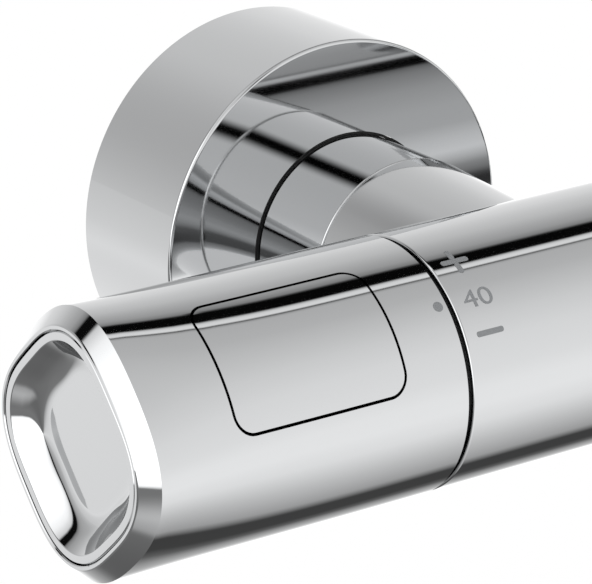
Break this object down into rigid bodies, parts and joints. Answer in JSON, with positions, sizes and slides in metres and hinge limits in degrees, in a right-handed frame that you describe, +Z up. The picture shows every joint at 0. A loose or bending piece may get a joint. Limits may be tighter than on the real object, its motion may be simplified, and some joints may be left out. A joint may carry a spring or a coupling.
{
  "type": "thermostatic shower valve",
  "caption": "Wall-mounted bar shower valve with a squared temperature handle and flow handle, push buttons, deep round wall rosettes, riser socket and hose outlet, polished chrome.",
  "frame": {"origin": "on the finished wall, midway between the two inlets and level with the bar's axis", "axes": "+X along the bar towards the flow handle, +Y into the wall, +Z up"},
  "size_m": [0.3356, 0.1265, 0.104],
  "materials": {
    "chrome": "polished chrome plate on brass",
    "handle_chrome": "polished chrome plate on ABS",
    "black_acetal": "moulded black acetal",
    "white_acetal": "moulded natural acetal",
    "grey_nylon": "moulded glass-filled nylon",
    "brass": "turned brass",
    "steel": "drawn stainless steel wire and rod",
    "ceramic": "lapped alumina ceramic",
    "rubber": "moulded EPDM rubber",
    "copper": "drawn copper capsule"
  },
  "bodies": {
    "mixer": {"left_union_nut": "chrome", "left_union_gasket": "rubber", "left_offset_union": "brass", "left_rosette": "chrome", "left_rosette_carrier": "white_acetal", "left_check_valve_body": "white_acetal", "left_check_valve_spring": "steel", "right_union_nut": "chrome", "right_union_gasket": "rubber", "right_offset_union": "brass", "right_rosette": "chrome", "right_rosette_carrier": "white_acetal", "right_check_valve_body": "white_acetal", "right_check_valve_spring": "steel", "temperature_stop_ring": "black_acetal", "flow_stop_ring": "black_acetal", "mixer_body": "chrome", "riser_collar": "chrome", "riser_seals": "rubber", "riser_set_screw": "steel", "hose_outlet": "chrome", "thermostat_housing": "grey_nylon", "thermostat_retaining_nut": "brass", "thermostat_seals": "rubber", "return_spring": "steel", "diverter_housing": "grey_nylon", "diverter_retaining_nut": "brass", "diverter_seals": "rubber", "diverter_gasket": "rubber", "fixed_disc": "ceramic"},
    "temperature_handle": {"temperature_handle": "handle_chrome", "temperature_handle_cap": "handle_chrome", "temperature_handle_carrier": "grey_nylon", "temperature_handle_screw": "steel", "thermostat_spindle": "brass", "safe_stop_spring": "steel"},
    "safe_stop_button": {"safe_stop_button": "handle_chrome"},
    "temperature_regulator": {"adjusting_nut": "white_acetal", "overload_spring": "steel", "wax_element": "copper", "control_shuttle": "steel"},
    "flow_handle": {"flow_handle": "handle_chrome", "flow_handle_cap": "handle_chrome", "flow_handle_carrier": "grey_nylon", "flow_handle_screw": "steel", "diverter_spindle": "brass", "moving_disc": "ceramic", "eco_stop_spring": "steel"},
    "eco_stop_button": {"eco_stop_button": "handle_chrome"},
    "left_check_poppet": {"left_check_valve_poppet": "white_acetal"},
    "right_check_poppet": {"right_check_valve_poppet": "white_acetal"}
  },
  "joints": [
    {"name": "temperature_turn", "type": "hinge", "parent": "mixer", "child": "temperature_handle", "pos_m": [-0.1055, -0.0839, 0], "axis": [-1, 0, 0], "range_deg": [-150, 60]},
    {"name": "safe_stop_press", "type": "slide", "parent": "temperature_handle", "child": "safe_stop_button", "axis": [0, 0.742, -0.6704], "range_m": [0, 0.0016], "stiffness_N_per_m": 900, "springref_m": -0.001, "deforming": ["safe_stop_spring"]},
    {"name": "regulator_shift", "type": "slide", "parent": "mixer", "child": "temperature_regulator", "axis": [-1, 0, 0], "range_m": [-0.0022, 0.0009], "deforming": ["return_spring"]},
    {"name": "flow_turn", "type": "hinge", "parent": "mixer", "child": "flow_handle", "pos_m": [0.1055, -0.0839, 0], "axis": [1, 0, 0], "range_deg": [-100, 100]},
    {"name": "eco_stop_press", "type": "slide", "parent": "flow_handle", "child": "eco_stop_button", "axis": [0, 0.742, -0.6704], "range_m": [0, 0.0016], "stiffness_N_per_m": 900, "springref_m": -0.001, "deforming": ["eco_stop_spring"]},
    {"name": "left_check_lift", "type": "slide", "parent": "mixer", "child": "left_check_poppet", "axis": [0, -1, 0], "range_m": [0, 0.003], "stiffness_N_per_m": 60, "springref_m": -0.002, "deforming": ["left_check_valve_spring"]},
    {"name": "right_check_lift", "type": "slide", "parent": "mixer", "child": "right_check_poppet", "axis": [0, -1, 0], "range_m": [0, 0.003], "stiffness_N_per_m": 60, "springref_m": -0.002, "deforming": ["right_check_valve_spring"]}
  ],
  "couplings": [
    {"joint": "regulator_shift", "follows": "temperature_turn", "m_per_rad": 0.0008}
  ]
}
